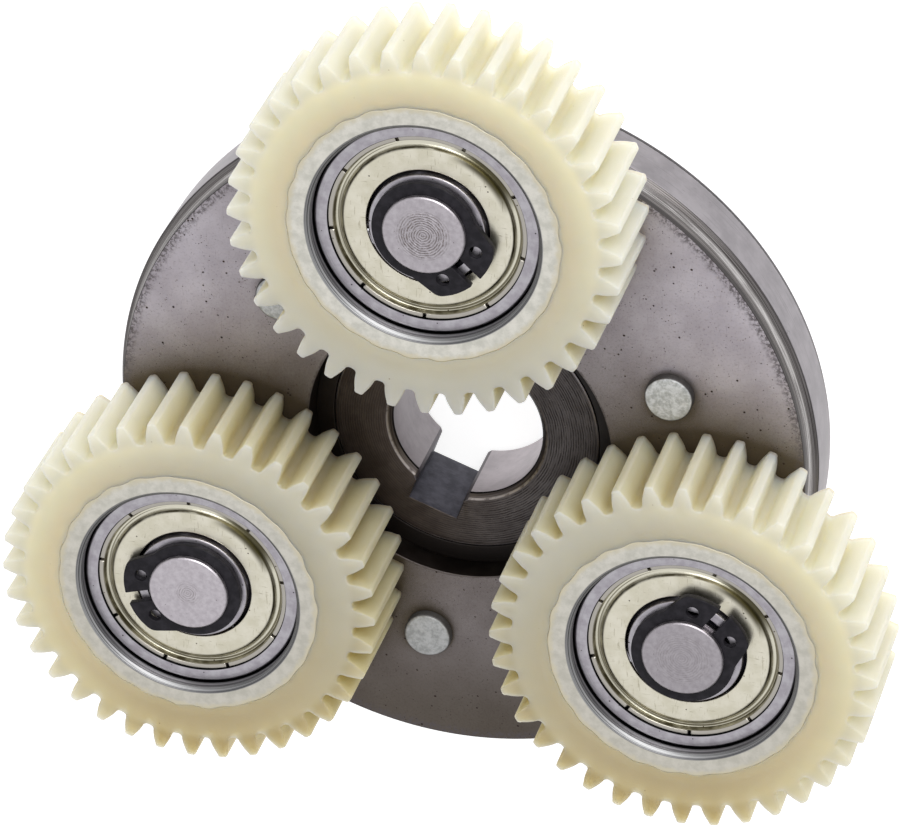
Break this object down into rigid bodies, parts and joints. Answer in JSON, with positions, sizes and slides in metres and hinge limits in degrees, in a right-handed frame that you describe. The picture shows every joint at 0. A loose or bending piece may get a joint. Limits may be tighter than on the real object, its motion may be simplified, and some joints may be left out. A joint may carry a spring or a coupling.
{
  "type": "planetary gear set",
  "caption": "Planet carrier disc with a keyed one-way roller-clutch hub in its middle and plastic planet gears running on shielded ball bearings held on pins by circlips.",
  "frame": {"origin": "on the main axis, at the rear face of the carrier's cover plate", "axes": "+Z along the main axis from the cover plate towards the planet gears; +Y from the main axis towards the first planet gear"},
  "size_m": [0.0874, 0.0825, 0.0228],
  "materials": {
    "ground_steel": "ground, with small pits",
    "hub_steel": "dark oxide over turning marks",
    "spring_steel_black": "black phosphate, matt",
    "bearing_steel": "fine ground satin",
    "spring_steel": "satin",
    "zinc_rivet": "zinc plated, mottled",
    "nylon": "translucent moulded nylon",
    "sleeve_steel": "mottled matt grey, bright chamfer",
    "ball_steel": "polished",
    "cage_plastic": "moulded",
    "shield_plate": "warm nickel, pressed",
    "pin_steel": "turned end face, ground side"
  },
  "bodies": {
    "carrier": {"carrier_disc": "ground_steel", "back_cover": "ground_steel", "roller_retainer": "hub_steel", "roller_springs": "spring_steel", "rivets": "zinc_rivet", "bearing_inner_ring_1": "bearing_steel", "planet_pin_1": "pin_steel", "circlip_1": "spring_steel_black", "spacer_1": "spring_steel", "bearing_inner_ring_2": "bearing_steel", "planet_pin_2": "pin_steel", "circlip_2": "spring_steel_black", "spacer_2": "spring_steel", "bearing_inner_ring_3": "bearing_steel", "planet_pin_3": "pin_steel", "circlip_3": "spring_steel_black", "spacer_3": "spring_steel"},
    "hub": {"clutch_hub": "hub_steel", "hub_snap_ring": "spring_steel_black"},
    "roller_1": {"clutch_roller_1": "bearing_steel"},
    "roller_2": {"clutch_roller_2": "bearing_steel"},
    "roller_3": {"clutch_roller_3": "bearing_steel"},
    "roller_4": {"clutch_roller_4": "bearing_steel"},
    "roller_5": {"clutch_roller_5": "bearing_steel"},
    "roller_6": {"clutch_roller_6": "bearing_steel"},
    "planet_1": {"planet_gear_1": "nylon", "gear_sleeve_1": "sleeve_steel", "bearing_outer_ring_1": "bearing_steel", "front_shield_1": "shield_plate", "back_shield_1": "shield_plate"},
    "ball_set_1": {"bearing_balls_1": "ball_steel", "ball_cage_1": "cage_plastic"},
    "planet_2": {"planet_gear_2": "nylon", "gear_sleeve_2": "sleeve_steel", "bearing_outer_ring_2": "bearing_steel", "front_shield_2": "shield_plate", "back_shield_2": "shield_plate"},
    "ball_set_2": {"bearing_balls_2": "ball_steel", "ball_cage_2": "cage_plastic"},
    "planet_3": {"planet_gear_3": "nylon", "gear_sleeve_3": "sleeve_steel", "bearing_outer_ring_3": "bearing_steel", "front_shield_3": "shield_plate", "back_shield_3": "shield_plate"},
    "ball_set_3": {"bearing_balls_3": "ball_steel", "ball_cage_3": "cage_plastic"}
  },
  "joints": [
    {"name": "hub_turn", "type": "hinge", "parent": "carrier", "child": "hub", "pos_m": [0, 0, 0.001], "axis": [0, 0, 1], "continuous": true},
    {"name": "roller_turn_1", "type": "hinge", "parent": "carrier", "child": "roller_1", "pos_m": [0.01218, 0.00885, 0.0024], "axis": [0, 0, 1], "continuous": true},
    {"name": "roller_turn_2", "type": "hinge", "parent": "carrier", "child": "roller_2", "pos_m": [-0.00157, 0.01498, 0.0024], "axis": [0, 0, 1], "continuous": true},
    {"name": "roller_turn_3", "type": "hinge", "parent": "carrier", "child": "roller_3", "pos_m": [-0.01376, 0.00613, 0.0024], "axis": [0, 0, 1], "continuous": true},
    {"name": "roller_turn_4", "type": "hinge", "parent": "carrier", "child": "roller_4", "pos_m": [-0.01218, -0.00885, 0.0024], "axis": [0, 0, 1], "continuous": true},
    {"name": "roller_turn_5", "type": "hinge", "parent": "carrier", "child": "roller_5", "pos_m": [0.00157, -0.01498, 0.0024], "axis": [0, 0, 1], "continuous": true},
    {"name": "roller_turn_6", "type": "hinge", "parent": "carrier", "child": "roller_6", "pos_m": [0.01376, -0.00613, 0.0024], "axis": [0, 0, 1], "continuous": true},
    {"name": "planet_turn_1", "type": "hinge", "parent": "carrier", "child": "planet_1", "pos_m": [0, 0.0285, 0.01435], "axis": [0, 0, 1], "continuous": true},
    {"name": "ball_set_turn_1", "type": "hinge", "parent": "carrier", "child": "ball_set_1", "pos_m": [0, 0.0285, 0.01435], "axis": [0, 0, 1], "continuous": true},
    {"name": "planet_turn_2", "type": "hinge", "parent": "carrier", "child": "planet_2", "pos_m": [-0.02468, -0.01425, 0.01435], "axis": [0, 0, 1], "continuous": true},
    {"name": "ball_set_turn_2", "type": "hinge", "parent": "carrier", "child": "ball_set_2", "pos_m": [-0.02468, -0.01425, 0.01435], "axis": [0, 0, 1], "continuous": true},
    {"name": "planet_turn_3", "type": "hinge", "parent": "carrier", "child": "planet_3", "pos_m": [0.02468, -0.01425, 0.01435], "axis": [0, 0, 1], "continuous": true},
    {"name": "ball_set_turn_3", "type": "hinge", "parent": "carrier", "child": "ball_set_3", "pos_m": [0.02468, -0.01425, 0.01435], "axis": [0, 0, 1], "continuous": true}
  ],
  "couplings": [
    {"joint": "roller_turn_1", "follows": "hub_turn", "ratio": -7.6},
    {"joint": "roller_turn_2", "follows": "hub_turn", "ratio": -7.6},
    {"joint": "roller_turn_3", "follows": "hub_turn", "ratio": -7.6},
    {"joint": "roller_turn_4", "follows": "hub_turn", "ratio": -7.6},
    {"joint": "roller_turn_5", "follows": "hub_turn", "ratio": -7.6},
    {"joint": "roller_turn_6", "follows": "hub_turn", "ratio": -7.6},
    {"joint": "ball_set_turn_1", "follows": "planet_turn_1", "ratio": 0.6323},
    {"joint": "ball_set_turn_2", "follows": "planet_turn_2", "ratio": 0.6323},
    {"joint": "ball_set_turn_3", "follows": "planet_turn_3", "ratio": 0.6323}
  ]
}
